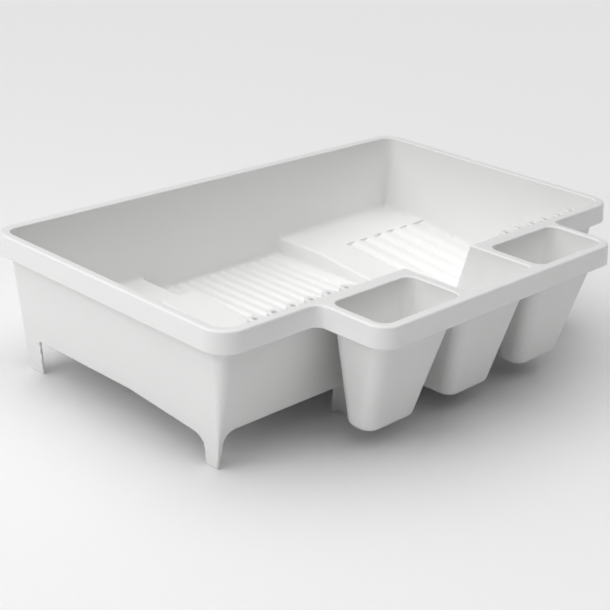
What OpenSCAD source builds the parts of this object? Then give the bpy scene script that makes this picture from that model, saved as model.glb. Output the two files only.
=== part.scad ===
// Compartmented ribbed tray: a shallow tub with a turned-down rim, two raised drain shelves beside a
// ribbed channel, and three tapered cups hanging off the front edge. It stands on six feet.
// The real tray is one moulding in one plastic; each node here is one region of that moulding.
// Millimetres. +X runs along the long front, +Y to the back, +Z up. The origin is on the ground,
// under the middle of the whole outline.

/* [Overall] */
// length of the rim along the front
tray_w = 480; // [400:5:560]
// depth of the tub's rim, front to back, without the cups
tub_d = 265; // [220:5:320]
// how far the cup block stands out in front of the tub's rim
cup_out = 63; // [45:1:80]
// height of the rim's top above the ground
tray_h = 118; // [95:1:140]

/* [Rim] */
// width of the rim's flat top band
band_w = 8; // [6:0.5:12]
// height of the lip that turns down from the band
lip_h = 17; // [12:0.5:22]
// how far the lip leans outward at its lower edge
lip_flare = 1.5; // [0:0.1:3]
// corner radius of the tub's rim, seen from above
rim_r = 20; // [14:1:30]
// corner radius of the cup block's rim
block_r = 17; // [12:1:24]
// length of the cup block along the front
block_w = 292; // [260:2:320]
// fillet where the cup block leaves the tub's rim
block_fillet = 9; // [5:1:15]

/* [Shell] */
// wall thickness of the moulding
wall_t = 2.2; // [1.6:0.1:3]
// lean of the tub's walls, inset per millimetre of depth
draft = 0.135; // [0.05:0.005:0.2]
// height of the centre channel's underside above the ground
floor_z = 30.5; // [24:0.5:40]
// height of the side walls' lower edge near the back feet
side_low_back = 42; // [32:0.5:50]
// height of the side walls' lower edge near the front feet
side_low_front = 21; // [16:0.5:30]

/* [Shelves] */
// distance of the right shelf's edge from the middle of the tray
right_edge = 71.5; // [50:0.5:90]
// distance of the left shelf's edge from the middle, on its sloping front part
left_edge = 79; // [50:0.5:90]
// the same on its flat back part
left_back_edge = 97; // [80:0.5:110]
// height of the shelves' flat back part above the ground
shelf_z = 47.6; // [38:0.1:52]
// distance from the front rim to the fold where a shelf starts to fall
fold_y = 199; // [170:1:220]
// fall of the right shelf per millimetre from its fold
right_fall = 0.11; // [0.02:0.01:0.12]
// the same for the left shelf
left_fall = 0.07; // [0.02:0.01:0.12]
// width of the smooth part of the right sloping shelf beside the channel
right_smooth = 38.5; // [20:0.5:60]
// the same on the left shelf
left_smooth = 38.5; // [4:0.5:60]

/* [Ribs] */
// spacing of the drain ribs on the shelves
pitch = 19.5; // [15:0.5:24]
// width of one drain rib
land_w = 6; // [4:0.5:14]
// height of a drain rib above its shelf
rib_h = 2.2; // [1.5:0.1:4]
// number of drain ribs on the right shelf beyond its smooth part
right_lands = 5; // [3:1:6]
// the same on the left shelf
left_lands = 5; // [3:1:6]
// spacing of the channel's ribs
bar_pitch = 12.5; // [10:0.5:16]
// width of one rib in the channel
bar_w = 8; // [5:0.5:10]
// height of one rib in the channel
bar_h = 1.6; // [1:0.1:3]
// number of ribs in the channel
bar_count = 11; // [6:1:13]
// distance of the channel's middle rib to the left of the middle of the tray
bar_off = 5.5; // [0:0.5:12]

/* [Cups] */
// height of the cups' undersides above the ground
cup_z = 18; // [12:0.5:30]
// length of one outer cup's opening along the front
cup_w = 88; // [76:1:96]
// depth of a cup's opening, front to back
cup_d = 51; // [40:1:60]
// length of a cup's flat bottom
cup_foot_w = 56; // [44:1:70]
// depth of a cup's flat bottom
cup_foot_d = 27; // [20:1:36]
// distance from the front rim to the cup bottoms' front edge
cup_foot_in = 26; // [16:1:34]
// corner radius of the cups
cup_r = 9; // [6:0.5:14]
// length of the middle cup's opening, which is open to the tub
mid_w = 82; // [70:1:90]
// length of the middle cup's flat bottom
mid_foot_w = 54; // [44:1:64]

/* [Feet] */
// width of a corner foot, front to back
foot_w = 13; // [9:0.5:18]
// radius of the fillet where a foot runs into its wall
foot_fillet = 10; // [6:0.5:14]
// distance of the inner feet from the middle of the tray
inner_foot_x = 82; // [70:1:95]
// length of each leg of an inner foot's L section
inner_foot_w = 12; // [8:0.5:16]

/* [Rack] */
// number of tabs in each rack
tab_count = 6; // [4:1:7]
// spacing of the tabs
tab_pitch = 19; // [15:0.5:24]
// width of one tab
tab_w = 12; // [9:0.5:14]
// how far a tab reaches in over the tub
tab_reach = 10; // [7:0.5:13]
// diameter of the hole through a tab
tab_hole = 4.4; // [3:0.1:5]
// thickness of a tab
tab_t = 6; // [1.5:0.5:9]
// drop from the rim's top to a tab's top
tab_drop = 3; // [2.2:0.1:6]
// distance from the end of the tray to the first tab's middle
tab_start = 45; // [38:1:60]

/* [Hidden] */
$fn = 96;
eps = 0.02;
plastic = [0.93, 0.93, 0.92];
x1 = tray_w / 2;                        // end of the tub's rim
yf = -(tub_d + cup_out) / 2 + cup_out;  // front edge of the tub's rim
yb = yf + tub_d;                        // back edge of the tub's rim
yc = yf - cup_out;                      // front edge of the cup block
band_t = wall_t;                        // thickness of the rim's top band
lip_z = tray_h - lip_h;                 // lower edge of the lip
wall_in = band_w - wall_t;              // inset of the walls' outer faces at the rim's top
wall_top = tray_h - band_t;             // top of the walls, under the band
floor_top = floor_z + wall_t;
fold = yf + fold_y;
bx = block_w / 2;
cup_cx = bx - band_w - cup_w / 2;       // middle of an outer cup
cup_back = yc + band_w + cup_d;         // back edge of the cup openings

function inset(z) = wall_in + draft * (tray_h - z);
function wall_face(z) = inset(z) + wall_t;
// front end of the tub's floor, and where a falling shelf runs level, just above that floor
front_in = yf + wall_face(floor_top);
level_z = floor_top + rib_h + 0.3;
function level_y(fall) = max(fold - (shelf_z - level_z) / fall, yf + 1);
function level_at(fall) = shelf_z - fall * (fold - level_y(fall));
// height of the side walls' lower edge
function side_low(y) =
    side_low_front + (side_low_back - side_low_front) * (y - yf - 20) / (tub_d - 45);

// ---- shared shapes ----

// A rounded block whose four sides lean together: the plan at the top is [xa, xb] by [ya, yd] with
// radius rt, and every side moves by rt - rb from the top to the bottom.
module leaning_block(xa, xb, ya, yd, z0, z1, rb, rt) {
    h = z1 - z0;
    for (x = [xa + rt, xb - rt], y = [ya + rt, yd - rt])
        translate([x, y, z0]) cylinder(h = h, r1 = rb, r2 = rt);
    translate([xa + rt, 0, z0]) rotate([90, 0, 90])
        linear_extrude(xb - xa - 2 * rt)
            polygon([[ya + rt - rb, 0], [yd - rt + rb, 0], [yd, h], [ya, h]]);
    translate([0, yd - rt, z0]) rotate([90, 0, 0])
        linear_extrude(yd - ya - 2 * rt)
            polygon([[xa + rt - rb, 0], [xb - rt + rb, 0], [xb, h], [xa, h]]);
}

// the tub's space down to height z, grown outward by g from its inner faces
module tub_space(z, top, g) {
    s = wall_in + wall_t - g + draft * (tray_h - top);
    r = rim_r - s;
    leaning_block(-x1 + s, x1 - s, yf + s, yb - s, z, top, r - draft * (top - z), r);
}

// the sheet of the tub's walls between two heights
module tub_sheet(z, top) {
    difference() {
        tub_space(z, top, wall_t);
        tub_space(z - 1, top + 1, 0);
    }
}

// a box given by two opposite corners
module span(a, b) {
    translate(a) cube(b - a);
}

// the outline of a rounded rectangle as a flat plate
module round_plate(xa, xb, ya, yd, z, t, r) {
    translate([0, 0, z]) linear_extrude(t) {
        translate([xa + r, ya]) square([xb - xa - 2 * r, yd - ya]);
        translate([xa, ya + r]) square([xb - xa, yd - ya - 2 * r]);
        for (x = [xa + r, xb - r], y = [ya + r, yd - r])
            translate([x, y]) circle(r);
    }
}

// a tapered bucket, solid: a rounded opening at the top and a smaller rounded foot at the bottom
module bucket(cx, wt, wb, yt0, yt1, yb0, yb1, z0, z1, r) {
    hull() {
        round_plate(cx - wt / 2, cx + wt / 2, yt0, yt1, z1 - eps, eps, r, $fn = 32);
        round_plate(cx - wb / 2, cx + wb / 2, yb0, yb1, z0, eps, r, $fn = 32);
    }
}

// ---- rim ----

// the rim's lip as a solid block around the tub
module tub_lip_block(g) {
    leaning_block(-x1 + g, x1 - g, yf + g, yb - g, lip_z - (g > 0 ? 1 : 0),
                  g > 0 ? wall_top : tray_h, rim_r - g + lip_flare, rim_r - g);
}

// the cup block's lip as a solid block, running back under the tub's front rim
module cup_lip_block(g) {
    leaning_block(-bx + g, bx - g, yc + g, yf + 2 * block_r + 10, lip_z - (g > 0 ? 1 : 0),
                  g > 0 ? wall_top : tray_h, block_r - g + lip_flare, block_r - g);
}

module tub_rim() {
    color(plastic) difference() {
        tub_lip_block(0);
        tub_lip_block(wall_t);
        translate([0, 0, 0.5]) tub_space(wall_top - 2, tray_h + 1, 0);
        span([-bx - block_fillet, yf - 5, lip_z - 2], [bx + block_fillet, yf, tray_h + 1]);
        span([-bx, yf - 5, lip_z - 2], [bx, yf + wall_t, wall_top]);
        span([-mid_w / 2, yf - 1, lip_z - 2], [mid_w / 2, yf + band_w + 5, tray_h + 1]);
    }
}

module cup_rim() {
    color(plastic) intersection() {
        difference() {
            union() {
                cup_lip_block(0);
                for (s = [-1, 1]) corner_fillet(s, block_fillet, lip_z, tray_h);
            }
            difference() {
                union() {
                    cup_lip_block(wall_t);
                    for (s = [-1, 1]) translate([0, 0, -1])
                        corner_fillet(s, block_fillet - wall_t, lip_z, wall_top);
                }
                span([-x1, yf, 0], [x1, yb, tray_h]);
            }
            for (s = [-1, 1])
                round_plate(s * cup_cx - cup_w / 2, s * cup_cx + cup_w / 2, yc + band_w, cup_back,
                            wall_top - 1, band_t + 2, cup_r);
            round_plate(-mid_w / 2, mid_w / 2, yc + band_w, yf + 20, wall_top - 1, band_t + 2, cup_r);
        }
        span([-x1, yc - 5, lip_z - 1], [x1, yf, tray_h + 1]);
    }
}

// the web that rounds off the inner corner between the tub's lip and the cup block's lip
module corner_fillet(s, r, z0, z1) {
    difference() {
        span([min(s * (bx - 5), s * (bx + block_fillet)), yf - block_fillet, z0],
             [max(s * (bx - 5), s * (bx + block_fillet)), yf, z1]);
        translate([s * (bx + block_fillet), yf - block_fillet, z0 - 1])
            cylinder(h = z1 - z0 + 2, r = r);
    }
}

// ---- walls ----

// a profile drawn in Y and Z, run from x = xa to x = xb
module along_x(xa, xb, points) {
    translate([xa, 0, 0]) rotate([90, 0, 90]) linear_extrude(xb - xa) polygon(points);
}

// a profile drawn in X and Z, run from y = ya to y = yd
module along_y(ya, yd, points) {
    translate([0, yd, 0]) rotate([90, 0, 0]) linear_extrude(yd - ya) polygon(points);
}

// the left wall's leaning sheet between the corners, as a profile in X and Z
function side_sheet(z0, z1) = [[-x1 + inset(z0), z0], [-x1 + wall_face(z0), z0],
                               [-x1 + wall_face(z1), z1], [-x1 + inset(z1), z1]];

module side_wall(s) {
    y0 = yf + rim_r;
    y1 = yb - rim_r;
    mirror([s > 0 ? 1 : 0, 0, 0]) intersection() {
        along_y(y0, y1, side_sheet(side_low_front - 2, wall_top));
        along_x(-x1, 0, [[y0, side_low(y0)], [y1, side_low(y1)], [y1, wall_top], [y0, wall_top]]);
    }
}

module left_wall() {
    color(plastic) side_wall(-1);
}

module right_wall() {
    color(plastic) side_wall(1);
}

module back_wall() {
    color(plastic) intersection() {
        tub_sheet(floor_z, wall_top);
        union() {
            span([-x1, yb - rim_r, side_low_back], [x1, yb, wall_top]);
            span([-left_back_edge - wall_t, yb - rim_r, floor_z],
                 [right_edge + wall_t, yb, side_low_back]);
        }
    }
}

module front_wall() {
    color(plastic) difference() {
        intersection() {
            tub_sheet(floor_z, wall_top);
            span([-x1, yf, floor_z], [x1, yf + rim_r, wall_top]);
        }
        mid_space(0, floor_top, wall_top + 1);
    }
}

// ---- floors and shelves ----

module centre_floor() {
    color(plastic) intersection() {
        tub_space(floor_z, floor_top, 0);
        union() {
            span([-left_edge, yf, floor_z], [right_edge, yb, floor_top]);
            span([-left_back_edge, fold, floor_z], [0, yb, floor_top]);
        }
    }
}

// a bar with a rounded back, lying along Y, cut to length by the caller
module floor_rib(x) {
    r = (pow(bar_w / 2, 2) + pow(bar_h, 2)) / (2 * bar_h);
    intersection() {
        translate([x, yf, floor_top + bar_h - r]) rotate([-90, 0, 0])
            cylinder(h = tub_d, r = r);
        span([x - bar_w, yf, floor_top], [x + bar_w, yb, floor_top + bar_h + 1]);
    }
}

module centre_ribs() {
    color(plastic) intersection() {
        for (i = [0 : bar_count - 1]) floor_rib((i - (bar_count - 1) / 2) * bar_pitch - bar_off);
        span([-left_edge, front_in + 4, floor_top], [right_edge, yb - 20.5, floor_top + bar_h + 1]);
    }
}

// the space under a shelf's falling front part, in Y and Z: it ends level where the shelf comes down
// to the floor
function shelf_hollow(fall) = [
    [yf - 1, floor_z - 1], [fold, floor_z - 1], [fold, shelf_z - rib_h - wall_t],
    [level_y(fall), level_at(fall) - rib_h - wall_t], [yf - 1, level_at(fall) - rib_h - wall_t]];

// the space under its flat back part, behind the riser at the fold
shelf_back_hollow = [
    [fold, floor_z - 1], [yb + 1, floor_z - 1], [yb + 1, shelf_z - wall_t],
    [fold + wall_t, shelf_z - wall_t], [fold + wall_t, shelf_z - rib_h - wall_t],
    [fold, shelf_z - rib_h - wall_t]];

// the space over the front part, lowered by a drop
function shelf_air(fall, drop) = [
    [yf - 1, level_at(fall) - drop], [level_y(fall), level_at(fall) - drop], [fold, shelf_z - drop],
    [fold, shelf_z + 1], [yf - 1, shelf_z + 1]];

// the right shelf, and the left one before it is mirrored: edge and back_edge are its inner edges in
// front of and behind the fold
module shelf(edge, back_edge, smooth, fall) {
    difference() {
        span([edge, yf, floor_z], [x1, yb, shelf_z]);
        along_x(edge + wall_t, x1 + 1, shelf_hollow(fall));
        along_x(back_edge + wall_t, x1 + 1, shelf_back_hollow);
        along_x(edge - 1, edge + smooth, shelf_air(fall, 0));
        along_x(edge + smooth, x1 + 1, shelf_air(fall, rib_h));
        if (back_edge > edge)
            span([edge - 1, fold + wall_t, floor_z - 1], [back_edge, yb + 1, shelf_z + 1]);
    }
}

module left_shelf() {
    color(plastic) intersection() {
        tub_space(floor_z, shelf_z + 1, 0);
        mirror([1, 0, 0]) shelf(left_edge, left_back_edge, left_smooth, left_fall);
    }
}

module right_shelf() {
    color(plastic) intersection() {
        tub_space(floor_z, shelf_z + 1, 0);
        shelf(right_edge, right_edge, right_smooth, right_fall);
    }
}

module drain_ribs(edge, smooth, fall, lands) {
    first = edge + smooth + pitch - land_w;
    for (i = [0 : lands - 1])
        along_x(first + i * pitch, first + i * pitch + land_w,
                [[yf, level_at(fall) - rib_h], [level_y(fall), level_at(fall) - rib_h],
                 [fold, shelf_z - rib_h], [fold, shelf_z], [level_y(fall), level_at(fall)],
                 [yf, level_at(fall)]]);
}

module left_drain_ribs() {
    color(plastic) intersection() {
        tub_space(floor_z, shelf_z + 1, 0);
        mirror([1, 0, 0]) drain_ribs(left_edge, left_smooth, left_fall, left_lands);
    }
}

module right_drain_ribs() {
    color(plastic) intersection() {
        tub_space(floor_z, shelf_z + 1, 0);
        drain_ribs(right_edge, right_smooth, right_fall, right_lands);
    }
}

// ---- racks under the front rim ----

module rack(s) {
    z1 = tray_h - tab_drop;
    z0 = z1 - tab_t;
    back = yf + wall_face(z0) + 0.4;
    difference() {
        union() {
            for (i = [0 : tab_count - 1]) {
                x = s * (x1 - tab_start - i * tab_pitch);
                span([x - tab_w / 2, yf + wall_in, z0], [x + tab_w / 2, back + tab_reach - tab_w / 2, z1]);
                translate([x, back + tab_reach - tab_w / 2, z0]) cylinder(h = tab_t, d = tab_w);
            }
            xa = x1 - tab_start;
            xb = xa - (tab_count - 1) * tab_pitch;
            span([min(s * xa, s * xb), yf + wall_in, z0], [max(s * xa, s * xb), back + wall_t, z1]);
        }
        for (i = [0 : tab_count - 1])
            translate([s * (x1 - tab_start - i * tab_pitch), back + tab_reach - tab_w / 2, z0 - 1])
                cylinder(h = tab_t + 2, d = tab_hole);
        front_block();
    }
}

// everything in front of the inner face of the tub's front wall
module front_block() {
    along_x(-x1, x1, [[yf - 5, floor_z], [yf + wall_face(floor_z), floor_z],
                      [yf + wall_face(tray_h), tray_h], [yf - 5, tray_h]]);
}

module left_rack() {
    color(plastic) rack(-1);
}

module right_rack() {
    color(plastic) rack(1);
}

// ---- cups ----

module outer_cup(s) {
    cx = s * cup_cx;
    foot0 = yc + cup_foot_in;
    foot1 = foot0 + cup_foot_d;
    difference() {
        bucket(cx, cup_w + 2 * wall_t, cup_foot_w, yc + band_w - wall_t, cup_back + wall_t,
               foot0, foot1, cup_z, wall_top, cup_r + wall_t);
        bucket(cx, cup_w, cup_foot_w - 2 * wall_t, yc + band_w, cup_back,
               foot0 + wall_t, foot1 - wall_t, cup_z + wall_t, wall_top + 0.1, cup_r);
    }
}

module left_cup() {
    color(plastic) outer_cup(-1);
}

module right_cup() {
    color(plastic) outer_cup(1);
}

// the tapered space of the middle cup, grown outward by g, run back into the tub
module mid_space(g, z0, z1) {
    intersection() {
        bucket(0, mid_w + 2 * g, mid_foot_w - 2 * wall_t + 2 * g, yc + band_w - g, yf + 90,
               yc + cup_foot_in + wall_t - g, yf + 90, cup_z + wall_t - g, wall_top + (g > 0 ? 0 : 0.1),
               cup_r + g);
        span([-x1, yc, z0], [x1, yf + 40, z1]);
    }
}

module middle_cup() {
    well_back = yc + cup_foot_in + cup_foot_d;
    color(plastic) difference() {
        intersection() {
            mid_space(wall_t, cup_z, wall_top);
            along_x(-x1, x1, [[yc, cup_z], [well_back, cup_z], [yf + inset(floor_z), floor_z],
                              [yf + inset(wall_top), wall_top], [yc, wall_top]]);
        }
        intersection() {
            mid_space(0, cup_z, wall_top + 1);
            along_x(-x1, x1, [[yc, cup_z + wall_t], [well_back - wall_t, cup_z + wall_t],
                              [yf + inset(floor_z), floor_top], [yf + 40, floor_top],
                              [yf + 40, wall_top + 1], [yc, wall_top + 1]]);
        }
    }
}

// ---- feet ----

// a foot's sheet seen from the side: w0 wide at the ground, w1 wide below the fillet of radius r
module foot_profile(w0, w1, h, r) {
    difference() {
        polygon([[0, 0], [w0, 0], [w1, h - r], [w1 + r, h - r], [w1 + r, h], [0, h]]);
        translate([w1 + r, h - r]) circle(r);
    }
}

// a corner foot: a sheet in the side wall's plane and a short fillet in the end wall's plane,
// drawn for the front left corner; top is the height of the end wall's lower edge, low that of the
// side wall's, w1 the sheet's width below its fillet
module corner_foot(top, low, w1, r) {
    x0 = -x1 + inset(0);
    y0 = yf + inset(0);
    x_top = -x1 + inset(top);
    y_top = yf + inset(top);
    reach = 60;
    intersection() {
        union() {
            intersection() {
                along_y(yf, yf + reach, side_sheet(0, top));
                union() {
                    translate([-x1, y0, 0]) rotate([90, 0, 90]) linear_extrude(reach)
                        foot_profile(foot_w, w1, low, r);
                    span([-x1, yf, 0], [-x1 + reach, y0 + foot_w / 2, top]);
                }
            }
            intersection() {
                along_x(-x1, -x1 + reach, [[y0, 0], [y0 + wall_t, 0], [y_top + wall_t, top], [y_top, top]]);
                translate([x0, yf + reach, 0]) rotate([90, 0, 0]) linear_extrude(reach) {
                    foot_profile(wall_t, wall_t, top, r);
                    translate([-rim_r, 0]) square([rim_r, top]);
                }
            }
        }
        along_x(-x1, -x1 + reach, [[y0, 0], [yf + reach, 0], [yf + reach, top], [y_top, top]]);
        along_y(yf, yf + reach, [[x0, 0], [-x1 + reach, 0], [-x1 + reach, top], [x_top, top]]);
    }
}

module front_foot(s) {
    mirror([s > 0 ? 1 : 0, 0, 0]) difference() {
        corner_foot(floor_z, side_low_front, foot_w, foot_fillet);
        side_wall(-1);
    }
}

module back_foot(s) {
    mirror([s > 0 ? 1 : 0, 0, 0]) translate([0, yf + yb, 0]) mirror([0, 1, 0])
        corner_foot(side_low_back, side_low_back, foot_w + 4, foot_fillet / 2);
}

module front_left_foot() {
    color(plastic) front_foot(-1);
}

module front_right_foot() {
    color(plastic) front_foot(1);
}

module back_left_foot() {
    color(plastic) back_foot(-1);
}

module back_right_foot() {
    color(plastic) back_foot(1);
}

// an inner foot: an L section under a shelf whose one leg runs forward under the front wall
module inner_foot(fall) {
    y1 = yf + inset(0) + 10;
    top = floor_z + 4;
    shelf_low = level_at(fall) - rib_h - wall_t;
    difference() {
        union() {
            along_x(-inner_foot_x, -inner_foot_x + wall_t,
                    [[y1 - inner_foot_w, 0], [y1, 0], [y1, top], [yf + inset(floor_z), top],
                     [yf + inset(floor_z) - 5, floor_z]]);
            span([-inner_foot_x - inner_foot_w / 2, y1 - wall_t, 0], [-inner_foot_x, y1, top]);
        }
        along_x(-x1, x1, [[yf, shelf_low], [level_y(fall), shelf_low],
                          [fold, shelf_z - rib_h - wall_t], [fold, tray_h], [yf, tray_h]]);
        span([-x1, yf, floor_z], [x1, yf + wall_face(floor_z), tray_h]);
    }
}

module inner_left_foot() {
    color(plastic) inner_foot(left_fall);
}

module inner_right_foot() {
    color(plastic) mirror([1, 0, 0]) inner_foot(right_fall);
}

tub_rim();
cup_rim();
back_wall();
left_wall();
right_wall();
front_wall();
centre_floor();
centre_ribs();
left_shelf();
left_drain_ribs();
right_shelf();
right_drain_ribs();
left_rack();
right_rack();
left_cup();
middle_cup();
right_cup();
front_left_foot();
front_right_foot();
back_left_foot();
back_right_foot();
inner_left_foot();
inner_right_foot();
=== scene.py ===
"""Looks of the compartmented white tray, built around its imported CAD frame.

The real tray is one moulding. Here its rounded, drafted and filleted skin is written as one distance
function in millimetres, meshed on a grid, and shared out among one closed piece for each CAD node.
"""
import math

import bpy
import numpy as np
from mathutils import Matrix, Vector


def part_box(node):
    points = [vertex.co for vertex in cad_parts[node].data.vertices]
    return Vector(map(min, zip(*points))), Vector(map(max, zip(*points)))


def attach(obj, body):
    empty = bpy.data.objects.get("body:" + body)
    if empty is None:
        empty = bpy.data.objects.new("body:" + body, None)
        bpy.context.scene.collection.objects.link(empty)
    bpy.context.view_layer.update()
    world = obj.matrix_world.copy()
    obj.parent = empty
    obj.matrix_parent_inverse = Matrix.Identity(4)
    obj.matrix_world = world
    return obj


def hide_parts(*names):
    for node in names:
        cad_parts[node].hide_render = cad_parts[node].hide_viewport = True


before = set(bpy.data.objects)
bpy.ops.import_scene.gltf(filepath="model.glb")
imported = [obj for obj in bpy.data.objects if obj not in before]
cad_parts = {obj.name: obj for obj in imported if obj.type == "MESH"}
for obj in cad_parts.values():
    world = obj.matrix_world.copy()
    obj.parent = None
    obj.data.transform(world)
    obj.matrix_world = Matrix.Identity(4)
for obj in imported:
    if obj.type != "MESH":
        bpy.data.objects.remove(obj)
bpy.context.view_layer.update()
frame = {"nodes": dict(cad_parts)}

MM = 0.001


def node_box(node):
    """The lowest and highest corner of a CAD node, in millimetres."""
    low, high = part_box(node)
    return np.array(low) / MM, np.array(high) / MM


# ---- sizes, in millimetres, from the frame ----

tub_low, tub_high = node_box("tub_rim")
cup_low = node_box("cup_rim")[0]
floor_low, floor_high = node_box("centre_floor")
right_shelf_low, right_shelf_high = node_box("right_shelf")
left_shelf_high = node_box("left_shelf")[1]
right_ribs_low, right_ribs_high = node_box("right_drain_ribs")
left_ribs_high = node_box("left_drain_ribs")[1]
bars_low, bars_high = node_box("centre_ribs")
left_cup_low, left_cup_high = node_box("left_cup")
rack_low, rack_high = node_box("right_rack")
inner_high = node_box("inner_left_foot")[1]

FLARE = 1.5                                 # how far the lip leans outward at its lower edge
WALL = 2.2                                  # thickness of the moulding
DRAFT = 0.135                               # inset of the tub's walls for each millimetre of depth
BAND = 8.0                                  # width of the rim's flat band
TOP = tub_high[2]                           # height of the rim's top
LIP_BOTTOM = tub_low[2]
LIP = TOP - LIP_BOTTOM
END = tub_high[0] - FLARE                   # half the rim's length
BACK = tub_high[1] - FLARE                  # back edge of the rim
BLOCK_FRONT = cup_low[1] + FLARE            # front edge of the cup block
TUB_DEPTH = 265.0                           # from the rim's front edge to its back one
FRONT = BACK - TUB_DEPTH                    # front edge of the tub's rim
BLOCK_END = 146.0                           # half the cup block's length
BLOCK_REACH = 60                            # how far the cup block's shapes run back into the tub
RIM_R, BLOCK_R, BLOCK_FILLET = 20.0, 17.0, 9.0
FLOOR_TOP = floor_high[2]
FLOOR_LOW = floor_low[2]
RIGHT_EDGE = right_shelf_low[0]             # the channel's edges: the right shelf's,
LEFT_EDGE = left_shelf_high[0]              # the left shelf's in front of the fold,
LEFT_BACK_EDGE = floor_low[0]               # and the left shelf's behind it
SHELF_TOP = right_shelf_high[2]
FOLD = right_ribs_high[1]                   # where the shelves start to fall towards the front
RIB = 2.2                                   # height of a drain rib
LEVEL_CLEAR = 0.3                           # how far its valleys stay above the channel's floor there
LEVEL = FLOOR_TOP + RIB + LEVEL_CLEAR       # height at which a falling shelf runs level
LEFT_FALL, RIGHT_FALL = 0.07, 0.11          # fall for each millimetre from the fold
PITCH, LAND_W = 19.5, 6.0                   # spacing and width of the drain ribs
LEFT_LAND = -left_ribs_high[0]              # distance from the middle to the first drain rib
RIGHT_LAND = right_ribs_low[0]
LEFT_LANDS, RIGHT_LANDS = 5, 5              # number of drain ribs
BAR_W, BAR_H = 8.0, 1.6                     # size of the channel's ribs
BAR_PITCH, BAR_COUNT = 12.5, 11
CUP_FOOT_Z = left_cup_low[2]
CUP_CX = -(left_cup_low[0] + left_cup_high[0]) / 2
CUP_W, CUP_D, CUP_R = 88.0, 51.0, 9.0       # an outer cup's opening
CUP_FOOT_W, CUP_FOOT_D, CUP_FOOT_IN = 56.0, 27.0, 26.0
MID_W, MID_FOOT_W = 82.0, 54.0              # the middle cup's opening and foot
MID_END = 40                                # how far behind FRONT the middle cup's space ends
SIDE_LOW_FRONT, SIDE_LOW_BACK, BACK_LOW = 21.0, 42.0, 42.0   # heights of the walls' lower edges
SLOPE_START, SLOPE_LOSS = 20, 45            # where the side walls' lower edge starts to rise, and
                                            # how much shorter than the tub its rise is
FOOT_W, FOOT_FILLET = 13.0, 10.0
BACK_FOOT_EXTRA = 4                         # how much wider the back feet are on the sides
TAB_COUNT, TAB_PITCH, TAB_START = 6, 19.0, 45.0
TAB_W, TAB_HOLE = 12.0, 4.4
TAB_BED = 1                                 # how far the tabs run into the front wall
WEB_W, WEB_STRAIGHT, WEB_LEAN = 12, 8, 0.36 # an inner foot's web: its width on the ground, the
                                            # height up to which it is straight, and its lean above
FLANGE_W, INNER_TOP = 6, 33                 # an inner foot's flange and the height it runs up to
INNER_BOTTOM = -5                           # below the ground, where it is cut off
BELOW_BAND = 1.6                            # walls and cups stop this far below the rim's top, so
                                            # that no two shapes share that plane

# ---- radii of fillets and rounded edges, in millimetres ----

RIM_TOP_R, RIM_HOLLOW_R, LIP_EDGE_R = 1.8, 1.0, 0.9
RIM_TO_WALL_R, RIM_TO_CUP_R, MOUTH_R = 1.2, 1.5, 1.4
TUB_R, CHANNEL_R, CHANNEL_CORNER_R, STEP_R, VALLEY_R = 4.5, 2.0, 3.0, 2.2, 0.8
CUP_OUTER_R, CUP_INNER_R, MID_TO_TUB_R = 5.0, 4.0, 1.0
UNDER_R, FOOT_EDGE_R, JOIN_R = 1.0, 0.9, 0.8
HOLE_R, RAIL_R, TAB_EDGE_R, INNER_EDGE_R = 0.5, 1.5, 0.7, 0.6
FOLD_SOFT, LEVEL_SOFT = 3.0, 0.5            # softness of the shelves' bends,
VALLEY_SOFT, BAR_SOFT = 0.14, 0.2           # of the valleys' edges and of the channel ribs' edges
TAPER = 0.98                                # true distance to a tapered wall over that in plan


def inset(z):
    """Inset of the walls' inner faces from the rim's edge at a height."""
    return BAND + DRAFT * (TOP - z)


# ---- distance functions: below zero inside ----

def round_union(a, b, r):
    """The union of two shapes with a fillet of radius r where they meet."""
    return np.maximum(r, np.minimum(a, b)) - np.hypot(np.maximum(r - a, 0), np.maximum(r - b, 0))


def round_both(a, b, r):
    """What two shapes share, with its edge rounded to radius r."""
    return np.minimum(-r, np.maximum(a, b)) + np.hypot(np.maximum(r + a, 0), np.maximum(r + b, 0))


def rounded_rect(x, y, xa, xb, ya, yb, r):
    """A rounded rectangle in plan; its bounds may change with height."""
    dx = np.abs(x - (xa + xb) / 2) - (xb - xa) / 2 + r
    dy = np.abs(y - (ya + yb) / 2) - (yb - ya) / 2 + r
    return np.hypot(np.maximum(dx, 0), np.maximum(dy, 0)) + np.minimum(np.maximum(dx, dy), 0) - r


def box(x, y, z, low, high, r):
    """A box with rounded edges."""
    dx = np.abs(x - (low[0] + high[0]) / 2) - (high[0] - low[0]) / 2 + r
    dy = np.abs(y - (low[1] + high[1]) / 2) - (high[1] - low[1]) / 2 + r
    dz = np.abs(z - (low[2] + high[2]) / 2) - (high[2] - low[2]) / 2 + r
    out = np.sqrt(np.maximum(dx, 0) ** 2 + np.maximum(dy, 0) ** 2 + np.maximum(dz, 0) ** 2)
    return out + np.minimum(np.maximum(dx, np.maximum(dy, dz)), 0) - r


def ease(t):
    """A smooth step from 0 to 1."""
    t = np.clip(t, 0, 1)
    return t * t * (3 - 2 * t)


def tub_outline(x, y):
    """The outline of the tub's rim in plan."""
    return rounded_rect(x, y, -END, END, FRONT, BACK, RIM_R)


def rim_outline(x, y):
    """The outline of the tub's rim and the cup block together, with its two concave fillets."""
    block = rounded_rect(x, y, -BLOCK_END, BLOCK_END, BLOCK_FRONT, FRONT + BLOCK_REACH, BLOCK_R)
    return round_union(tub_outline(x, y), block, BLOCK_FILLET)


def side(x, left, right):
    """One value left of the tray's middle and another right of it."""
    return np.where(x > 0, right, left)


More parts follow.
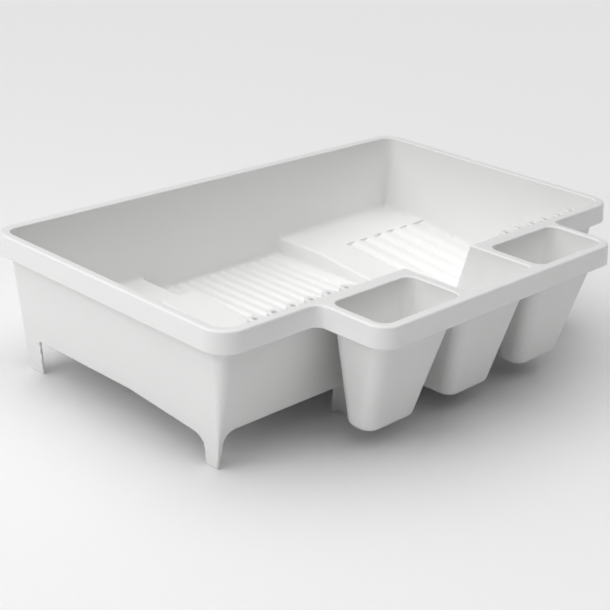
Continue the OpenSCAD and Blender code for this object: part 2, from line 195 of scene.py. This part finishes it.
def shelf_height(x, y):
    """Height of a shelf's top: flat at the back, falling from the fold, and level again low down."""
    d = FOLD - y
    fallen = SHELF_TOP - side(x, LEFT_FALL, RIGHT_FALL) * (d + np.hypot(d, FOLD_SOFT)) / 2
    return (fallen + LEVEL + np.hypot(fallen - LEVEL, LEVEL_SOFT)) / 2


def valley(x):
    """How deep the shelves' top dips at x: 0 on a drain rib and 1 in the middle of a valley."""
    half = (PITCH - LAND_W) / 2
    u = np.abs(x) - side(x, LEFT_LAND, RIGHT_LAND) - LAND_W - half
    last = side(x, LEFT_LANDS, RIGHT_LANDS) - 1
    index = np.clip(np.round(u / PITCH), -1, last)
    off = (u - index * PITCH) / half
    off = np.where(index == last, np.minimum(off, 0), off)
    dip = np.maximum(1 - off * off, -1)
    return (dip + np.hypot(dip, VALLEY_SOFT)) / 2


def channel_plan(x, y):
    """The channel in plan: behind the fold it is wider on the left."""
    back = np.maximum(LEFT_BACK_EDGE - x, FOLD + WALL - y)
    return np.maximum(x - RIGHT_EDGE, round_union(LEFT_EDGE - x, back, CHANNEL_CORNER_R))


def bar_height(x, y):
    """Height of the channel's rounded ribs above its floor."""
    r = ((BAR_W / 2) ** 2 + BAR_H ** 2) / (2 * BAR_H)
    first = bars_low[0] + BAR_W / 2
    index = np.clip(np.round((x - first) / BAR_PITCH), 0, BAR_COUNT - 1)
    dx = x - first - index * BAR_PITCH
    half = (bars_high[1] - bars_low[1] - BAR_W) / 2
    dy = np.maximum(np.abs(y - (bars_low[1] + bars_high[1]) / 2) - half, 0)
    rise = np.sqrt(r * r - np.minimum(dx * dx + dy * dy, r * r)) - (r - BAR_H)
    return (rise + np.hypot(rise, BAR_SOFT)) / 2


def cup_bounds(cx, top_w, foot_w, z, grow):
    """A tapered cup's plan bounds at a height, for its inner face grown outward."""
    t = (z - CUP_FOOT_Z - WALL) / (TOP - CUP_FOOT_Z - WALL)
    half = (foot_w / 2 - WALL) * (1 - t) + top_w / 2 * t + grow
    front = (BLOCK_FRONT + CUP_FOOT_IN + WALL) * (1 - t) + (BLOCK_FRONT + BAND) * t - grow
    foot_back = BLOCK_FRONT + CUP_FOOT_IN + CUP_FOOT_D - WALL
    back = foot_back * (1 - t) + (BLOCK_FRONT + BAND + CUP_D) * t + grow
    return cx - half, cx + half, front, back


def outer_cup(x, y, z, cx, grow, bottom_r):
    """An outer cup's space, or its outside where grow is the wall."""
    xa, xb, ya, yb = cup_bounds(cx, CUP_W, CUP_FOOT_W, z, grow)
    plan = rounded_rect(x, y, xa, xb, ya, yb, CUP_R + grow)
    return round_both(TAPER * plan, CUP_FOOT_Z + WALL - grow - z, bottom_r)


def middle_cup(x, y, z, grow, bottom_r):
    """The middle cup's space, run back into the tub over a floor that rises to the tub's floor."""
    xa, xb, ya, yb = cup_bounds(0.0, MID_W, MID_FOOT_W, z, grow)
    plan = rounded_rect(x, y, xa, xb, ya, FRONT + BLOCK_REACH, CUP_R + grow)
    foot_back = BLOCK_FRONT + CUP_FOOT_IN + CUP_FOOT_D - WALL
    run = FRONT + inset(FLOOR_LOW) - foot_back
    rise = ease((y - foot_back) / run) * (FLOOR_TOP - CUP_FOOT_Z - WALL)
    shape = round_both(TAPER * plan, CUP_FOOT_Z + WALL - grow + rise - z, bottom_r)
    return np.maximum(shape, y - (FRONT + MID_END))


def tub_air(x, y, z, v):
    """The space inside the tub, above its floor and shelves."""
    channel = round_both(channel_plan(x, y), FLOOR_TOP + bar_height(x, y) - z, CHANNEL_R)
    shelf = shelf_height(x, y)
    valleys = round_both(shelf - RIB * valley(x) - z, y - FOLD, VALLEY_R)
    above = round_union(channel, np.minimum(shelf - z, valleys), STEP_R)
    return round_both(above, v, TUB_R)


def under_tub(x, y, z, v):
    """The open space below the tub's floors, between its walls."""
    shelf = shelf_height(x, y)
    back = np.maximum(z - shelf + WALL, FOLD + WALL - y)
    below_shelf = np.minimum(z - shelf + WALL + RIB, back)
    under = round_both(below_shelf, WALL - channel_plan(x, y), UNDER_R)
    return round_both(np.minimum(under, z - FLOOR_LOW), v, UNDER_R)


def wall_limit(x, y, z):
    """Below zero where the tub's walls and corner feet reach down to."""
    rise = SIDE_LOW_BACK - SIDE_LOW_FRONT
    side_low = SIDE_LOW_FRONT + rise * (y - FRONT - SLOPE_START) / (BACK - FRONT - SLOPE_LOSS)
    foot_inset = inset(0) - WALL
    front_foot = y - (FRONT + foot_inset + FOOT_W)
    back_foot = BACK - foot_inset - FOOT_W - BACK_FOOT_EXTRA - y
    side_wall = round_union(side_low - z, front_foot, FOOT_FILLET)
    side_wall = round_union(side_wall, back_foot, FOOT_FILLET / 2)
    leg = END - foot_inset - WALL - np.abs(x)
    front = round_union(FLOOR_LOW - z, leg, FOOT_FILLET)
    by_channel = (x > LEFT_BACK_EDGE - WALL) & (x < RIGHT_EDGE + WALL)
    back_low = np.where(by_channel, FLOOR_LOW, BACK_LOW)
    back = round_union(back_low - z, leg, FOOT_FILLET / 2)
    to_side = np.abs(x) - END
    to_front = FRONT - y
    to_back = y - BACK
    end = np.where(to_front > to_back, front, back)
    limit = np.where(to_side > np.maximum(to_front, to_back), side_wall, end)
    return np.maximum(limit, -z)


def racks(x, y, z):
    """The two rows of rounded tabs with a hole each."""
    z0, z1 = rack_low[2], rack_high[2]
    tip = rack_high[1]
    u = np.abs(x)
    first = END - TAB_START
    last = first - (TAB_COUNT - 1) * TAB_PITCH
    index = np.clip(np.round((first - u) / TAB_PITCH), 0, TAB_COUNT - 1)
    du = u - (first - index * TAB_PITCH)
    centre = tip - TAB_W / 2
    stem = np.maximum(np.abs(du) - TAB_W / 2, y - centre)
    disc = np.hypot(du, y - centre) - TAB_W / 2
    hole = TAB_HOLE / 2 - np.hypot(du, y - centre)
    plan = round_both(np.minimum(stem, disc), hole, HOLE_R)
    rail = np.maximum(np.maximum(last - u, u - first), y - (FRONT + inset(z1) + WALL))
    plan = round_union(plan, rail, RAIL_R)
    plan = np.maximum(plan, FRONT + inset(z1) - TAB_BED - y)
    return round_both(plan, np.abs(z - (z0 + z1) / 2) - (z1 - z0) / 2, TAB_EDGE_R)


def inner_feet(x, y, z):
    """An L section under each shelf, whose one leg runs forward under the front wall."""
    u = np.abs(x)
    y1 = inner_high[1]
    web_low, web_high = -inner_high[0], -inner_high[0] + WALL
    sheet = np.abs(u - (web_low + web_high) / 2) - WALL / 2
    slope = (y1 - WEB_W - y) - np.maximum(z - WEB_STRAIGHT, 0) * WEB_LEAN
    web = round_both(sheet, np.maximum(np.maximum(slope, y - y1), z - INNER_TOP), INNER_EDGE_R)
    flange_low = (web_high - 0.5, y1 - WALL, INNER_BOTTOM)
    flange_high = (web_high + FLANGE_W, y1, INNER_TOP)
    flange = box(u, y, z, flange_low, flange_high, INNER_EDGE_R)
    return np.maximum(np.minimum(web, flange), -z)


def tray(x, y, z):
    """The whole tray."""
    flare = FLARE * (TOP - z) / LIP
    outline = rim_outline(x, y) - flare
    plate = round_both(outline, z - TOP, RIM_TOP_R)
    hollow = round_both(outline + WALL, z - TOP + WALL, RIM_HOLLOW_R)
    rim = round_both(np.maximum(plate, -hollow), LIP_BOTTOM - z, LIP_EDGE_R)
    v = tub_outline(x, y) + inset(z)
    low = wall_limit(x, y, z)
    below_band = z - TOP + BELOW_BAND
    tub = np.maximum(v - WALL, below_band)
    feet_sheet = round_both(np.abs(v - WALL / 2) - WALL / 2, low, FOOT_EDGE_R)
    body = np.maximum(tub, np.minimum(low, FLOOR_LOW - z))
    body = np.maximum(body, -under_tub(x, y, z, v))
    body = np.minimum(np.maximum(body, FLOOR_LOW - z), np.maximum(feet_sheet, below_band))
    solid = round_union(rim, body, RIM_TO_WALL_R)
    for cx in (-CUP_CX, CUP_CX):
        cup = np.maximum(outer_cup(x, y, z, cx, WALL, CUP_OUTER_R), below_band)
        solid = round_union(solid, cup, RIM_TO_CUP_R)
    cup = np.maximum(middle_cup(x, y, z, WALL, CUP_OUTER_R), below_band)
    solid = round_union(solid, cup, RIM_TO_CUP_R)
    air = tub_air(x, y, z, v)
    for cx in (-CUP_CX, CUP_CX):
        air = np.minimum(air, outer_cup(x, y, z, cx, 0.0, CUP_INNER_R))
    air = round_union(air, middle_cup(x, y, z, 0.0, CUP_INNER_R), MID_TO_TUB_R)
    solid = round_both(solid, -air, MOUTH_R)
    solid = round_union(solid, inner_feet(x, y, z), JOIN_R)
    return round_union(solid, racks(x, y, z), JOIN_R)


# ---- meshing ----

SLOPE_STEP = 0.2                            # spacing of the points that a slope is taken from
LONGEST_STEP, FLATTEST = 0.6, 0.2           # limits on one step of a point towards the skin
FARTHEST_MOVE = 0.9                         # a point that would move farther than this stays put
AGREES = 0.8                                # cosine of the widest gap allowed between two normals
TINY = 1e-9


def axis(*spans):
    """Grid lines from spans of (start, end, spacing)."""
    coarse = 1.0
    lines = []
    for start, end, spacing in spans:
        count = max(1, round((end - start) / (spacing * coarse)))
        lines.extend(np.linspace(start, end, count, endpoint=False))
    lines.append(spans[-1][1])
    return np.array(lines)


def grid():
    """Lines close together where the skin leans or curves, and wide apart where it runs straight."""
    x = axis((-END - 3.1, END + 3.1, 1.05))
    y = axis((BLOCK_FRONT - 2.9, FRONT + 24.3, 1.0), (FRONT + 24.3, FOLD - 3.3, 3.0),
             (FOLD - 3.3, FOLD + WALL + 4.2, 0.9), (FOLD + WALL + 4.2, BACK - 37.2, 3.0),
             (BACK - 37.2, BACK + 3.1, 1.1))
    z = axis((-1.3, 1.6, 0.7), (1.6, 15.7, 2.0), (15.7, SHELF_TOP + 4.2, 1.0),
             (SHELF_TOP + 4.2, LIP_BOTTOM - 2.3, 1.9), (LIP_BOTTOM - 2.3, LIP_BOTTOM + 2.1, 0.75),
             (LIP_BOTTOM + 2.1, rack_low[2] - 1.7, 1.9), (rack_low[2] - 1.7, TOP + 1.3, 0.72))
    return x, y, z


LABEL = {name: i + 1 for i, name in enumerate(frame["nodes"])}

# where one node's region ends and the next begins, in millimetres
WALL_SHARE = 0.4                            # part of the wall's thickness that the floors keep
ABOVE_FLOOR, BELOW_FLOOR = 1.0, 0.5         # how close to the floors the walls' regions come
BEFORE_RIBS = 3                             # the first drain rib's region may start this far before it
FOOT_DROP = 8                               # a back foot's region ends this far below the wall's edge
REACH = 0.3                                 # racks and inner feet keep this much of their fillets
BESIDE_CUP = 2.5                            # part of the wall between two cups that the outer one keeps
CUP_BACK, BLOCK_SIDE = 6, 2                 # the cups' region behind FRONT and inside the block's ends
LIP_DEPTH, LIP_DROP = 0.2, 1                # the rim's region behind and below the lip


def owners(x, y, z):
    """The number of the CAD node that each point of the tray belongs to."""
    v = tub_outline(x, y) + inset(z)
    right = x > 0
    ux = np.abs(x)

    def pair(left_name, right_name):
        return np.where(right, LABEL[right_name], LABEL[left_name])

    # inside the tub: floor, ribs, shelves and their lands
    shelf = shelf_height(x, y)
    channel = channel_plan(x, y) < 0
    past_strip = ux > side(x, LEFT_LAND, RIGHT_LAND) - BEFORE_RIBS
    lands = (valley(x) < 0.5) & past_strip & (y < FOLD) & (z > shelf - RIB)
    in_shelf = np.where(lands, pair("left_drain_ribs", "right_drain_ribs"),
                        pair("left_shelf", "right_shelf"))
    in_channel = np.where(z > FLOOR_TOP, LABEL["centre_ribs"], LABEL["centre_floor"])
    owner = np.where(channel, in_channel, in_shelf)
    # the tub's walls take their fillets too, so that each boundary cuts the skin steeply
    to_side, to_front, to_back = ux - END, FRONT - y, y - BACK
    end_wall = np.where(to_front > to_back, LABEL["front_wall"], LABEL["back_wall"])
    wall = np.where(to_side > np.maximum(to_front, to_back), pair("left_wall", "right_wall"), end_wall)
    top_here = np.where(channel, FLOOR_TOP + BAR_H, shelf - RIB * valley(x) * (y < FOLD))
    under_here = np.where(channel, FLOOR_LOW, shelf - RIB - WALL)
    in_wall = (v > WALL * WALL_SHARE) | (z > top_here + ABOVE_FLOOR)
    in_wall |= (v > 0) & (z < under_here - BELOW_FLOOR)
    owner = np.where(in_wall, wall, owner)
    # feet
    front_half = y < (FRONT + BACK) / 2
    corner = np.where(front_half, pair("front_left_foot", "front_right_foot"),
                      pair("back_left_foot", "back_right_foot"))
    foot_top = np.where(front_half, SIDE_LOW_FRONT, SIDE_LOW_BACK - FOOT_DROP)
    owner = np.where((v > 0) & (z < foot_top), corner, owner)
    inner = inner_feet(x, y, z) < REACH
    owner = np.where(inner & (z < FLOOR_LOW), pair("inner_left_foot", "inner_right_foot"), owner)
    # racks
    in_rack = (racks(x, y, z) < REACH) & (v < 0)
    owner = np.where(in_rack, pair("left_rack", "right_rack"), owner)
    # the cups, and the rim over all
    outer = ux > CUP_CX - CUP_W / 2 - BESIDE_CUP
    cup = np.where(outer, pair("left_cup", "right_cup"), LABEL["middle_cup"])
    ahead = (y < FRONT) | ((ux < MID_W / 2 + WALL) & (y < FRONT + inset(z) - WALL))
    by_block = (y < FRONT + CUP_BACK) & (ux < BLOCK_END - BLOCK_SIDE)
    owner = np.where(ahead | by_block, cup, owner)
    outline = rim_outline(x, y) - FLARE * (TOP - z) / LIP
    in_rim = (z > TOP - WALL) | ((outline > -WALL - LIP_DEPTH) & (z > LIP_BOTTOM - LIP_DROP))
    return np.where(in_rim, np.where(y < FRONT, LABEL["cup_rim"], LABEL["tub_rim"]), owner)


def gradient(p, h=SLOPE_STEP):
    """The distance function's slope at points, by central differences."""
    g = np.empty_like(p)
    for a in range(3):
        step = np.zeros(3)
        step[a] = h
        up, down = p + step, p - step
        g[:, a] = (tray(*up.T) - tray(*down.T)) / (2 * h)
    return g


def skin():
    """The tray's surface on the grid.

    Gives the points, which of them lie on the skin, the quads, and the owners on each quad's two sides.
    """
    lines = grid()
    turns = ((-1, 1, 1), (1, -1, 1), (1, 1, -1))
    gx, gy, gz = (line.reshape(turn).astype(np.float32) for line, turn in zip(lines, turns))
    d = tray(gx, gy, gz)
    shape = d.shape
    owner = np.zeros(shape, np.int16)
    inside = np.nonzero(d < 0)
    at = [line[i] for line, i in zip(lines, inside)]
    owner[inside] = owners(*at)
    cells = np.prod(shape)
    stride = (shape[1] * shape[2], shape[2], 1)
    sums = [np.zeros((cells, 3)), np.zeros((cells, 3))]
    counts = [np.zeros(cells), np.zeros(cells)]
    quads, sides = [], []
    for a in range(3):
        b, c = (a + 1) % 3, (a + 2) % 3
        first = [slice(None)] * 3
        second = [slice(None)] * 3
        first[a], second[a] = slice(0, -1), slice(1, None)
        lo, hi = owner[tuple(first)], owner[tuple(second)]
        index = np.nonzero(lo != hi)
        flat = index[0] * stride[0] + index[1] * stride[1] + index[2]
        both = np.stack([lo[index], hi[index]], 1)
        d0, d1 = d[tuple(first)][index], d[tuple(second)][index]
        outer = (both == 0).any(1)
        t = np.where(outer, np.clip(d0 / np.where(d0 == d1, 1, d0 - d1), 0, 1), 0.5)
        point = np.stack([lines[k][index[k]] for k in range(3)], 1)
        point[:, a] += t * (lines[a][index[a] + 1] - lines[a][index[a]])
        corners = []
        for db, dc in ((-1, -1), (0, -1), (0, 0), (-1, 0)):
            cell = flat + db * stride[b] + dc * stride[c]
            corners.append(cell)
            for kind in (0, 1):
                pick = outer if kind == 0 else ~outer
                for k in range(3):
                    sums[kind][:, k] += np.bincount(cell[pick], point[pick, k], cells)
                counts[kind] += np.bincount(cell[pick], None, cells)
        quads.append(np.stack(corners, 1))
        sides.append(both)
    quads, sides = np.concatenate(quads), np.concatenate(sides)
    used, quads = np.unique(quads, return_inverse=True)
    quads = quads.reshape(-1, 4)
    on_skin = counts[0][used] > 0
    means = [sums[kind][used] / np.maximum(counts[kind][used], 1)[:, None] for kind in (0, 1)]
    points = np.where(on_skin[:, None], *means)
    return points, on_skin, quads, sides


def quad_normals(points, quads):
    """The quads' own normals, as long as twice their area."""
    corner = points[quads]
    return np.cross(corner[:, 2] - corner[:, 0], corner[:, 3] - corner[:, 1])


def settle(points, on_skin, quads, sides):
    """Moves the skin's points onto the exact surface and gives their normals."""
    start = points[on_skin]
    p = start.copy()
    for _ in range(4):
        g = gradient(p)
        move = tray(*p.T)[:, None] * g / np.maximum((g * g).sum(1), FLATTEST)[:, None]
        length = np.linalg.norm(move, axis=1)
        p -= move * np.minimum(1, LONGEST_STEP / np.maximum(length, TINY))[:, None]
    strayed = np.linalg.norm(p - start, axis=1) > FARTHEST_MOVE
    p[strayed] = start[strayed]
    points[on_skin] = p

    # where the distance function's slope disagrees with the mesh around a point, the mesh is right
    meshed = np.zeros_like(points)
    for air_side, turn in ((1, 1), (0, -1)):
        outer = quads[sides[:, air_side] == 0]
        facing = turn * quad_normals(points, outer)
        for corner in range(4):
            for k in range(3):
                meshed[:, k] += np.bincount(outer[:, corner], facing[:, k], len(points))
    meshed /= np.maximum(np.linalg.norm(meshed, axis=1), TINY)[:, None]
    g = gradient(p)
    g /= np.maximum(np.linalg.norm(g, axis=1), TINY)[:, None]
    agrees = (g * meshed[on_skin]).sum(1) > AGREES
    normals = meshed
    normals[on_skin] = np.where(agrees[:, None], g, meshed[on_skin])
    return points, normals


def make_piece(name, points, normals, quads, cut):
    """One closed piece; its cut faces, where it meets its neighbours, keep their flat normals."""
    used, local = np.unique(quads, return_inverse=True)
    local = local.reshape(-1, 4)
    mesh = bpy.data.meshes.new(name)
    mesh.vertices.add(len(used))
    mesh.vertices.foreach_set("co", (points[used] * MM).ravel())
    mesh.loops.add(local.size)
    mesh.loops.foreach_set("vertex_index", local.ravel().astype(np.int32))
    mesh.polygons.add(len(local))
    mesh.polygons.foreach_set("loop_start", np.arange(0, local.size, 4, dtype=np.int32))
    mesh.update(calc_edges=True)
    mesh.polygons.foreach_set("use_smooth", np.ones(len(local), bool))
    flat = quad_normals(points, quads)
    flat /= np.maximum(np.linalg.norm(flat, axis=1), TINY)[:, None]
    loops = normals[quads]
    loops[cut] = flat[cut][:, None]
    mesh.normals_split_custom_set(loops.reshape(-1, 3).tolist())
    piece = bpy.data.objects.new(name, mesh)
    bpy.context.scene.collection.objects.link(piece)
    return piece


def build_tray():
    """The skin as one piece for each node that owns some of it."""
    points, on_skin, quads, sides = skin()
    points, normals = settle(points, on_skin, quads, sides)
    pieces = {}
    for name, number in LABEL.items():
        low_side = sides[:, 0] == number
        high_side = sides[:, 1] == number
        chosen = np.concatenate([quads[low_side], quads[high_side][:, ::-1]])
        other = np.concatenate([sides[low_side, 1], sides[high_side, 0]])
        if len(chosen):
            pieces[name] = make_piece("moulded_" + name, points, normals, chosen, other != 0)
    return pieces


def white_plastic():
    """White moulded polypropylene: a soft gloss over a very faint flow clouding in its colour."""
    material = bpy.data.materials.new("white_moulded_plastic")
    material.use_nodes = True
    nodes, links = material.node_tree.nodes, material.node_tree.links
    shader = nodes["Principled BSDF"]
    shader.inputs["Roughness"].default_value = 0.3
    shader.inputs["IOR"].default_value = 1.49
    where = nodes.new("ShaderNodeTexCoord")
    clouds = nodes.new("ShaderNodeTexNoise")
    clouds.inputs["Scale"].default_value = 14.0
    clouds.inputs["Detail"].default_value = 3.0
    tint = nodes.new("ShaderNodeMix")
    tint.data_type = "RGBA"
    tint.inputs["A"].default_value = (0.945, 0.945, 0.94, 1)
    tint.inputs["B"].default_value = (0.965, 0.965, 0.96, 1)
    links.new(where.outputs["Object"], clouds.inputs["Vector"])
    links.new(clouds.outputs["Fac"], tint.inputs["Factor"])
    links.new(tint.outputs["Result"], shader.inputs["Base Color"])
    return material


pieces = build_tray()
plastic = white_plastic()
for name, piece in pieces.items():
    piece.data.materials.append(plastic)
    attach(piece, "root")
    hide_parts(name)

# ---- floor, light and camera ----

FLOOR_REACH = 30                            # metres from the middle, so that no view sees past its edge
floor_mesh = bpy.data.meshes.new("floor")
floor_corners = [(a * FLOOR_REACH, b * FLOOR_REACH, 0) for a, b in ((-1, -1), (1, -1), (1, 1), (-1, 1))]
floor_mesh.from_pydata(floor_corners, [], [(0, 1, 2, 3)])
floor = bpy.data.objects.new("floor", floor_mesh)
bpy.context.scene.collection.objects.link(floor)
floor_material = bpy.data.materials.new("pale_floor")
floor_material.use_nodes = True
floor_shader = floor_material.node_tree.nodes["Principled BSDF"]
floor_shader.inputs["Base Color"].default_value = (0.93, 0.93, 0.93, 1)
floor_shader.inputs["Roughness"].default_value = 1.0
floor_shader.inputs["Specular IOR Level"].default_value = 0.0
floor_mesh.materials.append(floor_material)

scene = bpy.context.scene
scene.view_settings.view_transform = "Standard"
scene.view_settings.gamma = 0.8

# soft light from overhead, fading out towards the horizon
world = bpy.data.worlds.new("studio")
scene.world = world
world.use_nodes = True
sky, sky_links = world.node_tree.nodes, world.node_tree.links
direction = sky.new("ShaderNodeTexCoord")
overhead = sky.new("ShaderNodeVectorMath")
overhead.operation = "DOT_PRODUCT"
overhead.inputs[1].default_value = Vector((-0.1, 0.15, 1)).normalized()
fade = sky.new("ShaderNodeMapRange")
fade.interpolation_type = "SMOOTHSTEP"
fade.inputs["From Min"].default_value = 0.28
fade.inputs["From Max"].default_value = 0.95
fade.inputs["To Min"].default_value = 0.02
fade.inputs["To Max"].default_value = 1.45
sky_links.new(direction.outputs["Generated"], overhead.inputs[0])
sky_links.new(overhead.outputs["Value"], fade.inputs["Value"])
sky["Background"].inputs["Color"].default_value = (1, 1, 1, 1)
sky_links.new(fade.outputs["Result"], sky["Background"].inputs["Strength"])


def area_light(name, place, aim, size, power):
    """A square light at a place, turned to an aim."""
    light = bpy.data.lights.new(name, "AREA")
    light.shape = "SQUARE"
    light.size = size
    light.energy = power
    lamp = bpy.data.objects.new(name, light)
    lamp.location = place
    lamp.rotation_euler = (Vector(aim) - Vector(place)).to_track_quat("-Z", "Y").to_euler()
    bpy.context.scene.collection.objects.link(lamp)


area_light("left_window", (-1.4, 0.2, 0.75), (0, 0, 0.05), 0.8, 3.6)

CAMERA_AT = (-0.84542, -0.72302, 0.50196)
YAW, PITCH_DOWN, ROLL = (math.radians(a) for a in (47.758, 22.405, 3.705))
camera_data = bpy.data.cameras.new("camera")
camera_data.sensor_width = 36.0
camera_data.lens = 83.95
camera_data.clip_start = 0.01
camera = bpy.data.objects.new("camera", camera_data)
bpy.context.scene.collection.objects.link(camera)
level = Vector((math.sin(YAW), math.cos(YAW), 0))
right = Vector((math.cos(YAW), -math.sin(YAW), 0))
ahead = level * math.cos(PITCH_DOWN) - Vector((0, 0, 1)) * math.sin(PITCH_DOWN)
up = right.cross(ahead)
image_right = right * math.cos(ROLL) + up * math.sin(ROLL)
image_up = up * math.cos(ROLL) - right * math.sin(ROLL)
turn = Matrix((image_right, image_up, -ahead)).transposed().to_4x4()
camera.matrix_world = Matrix.Translation(CAMERA_AT) @ turn
scene.camera = camera
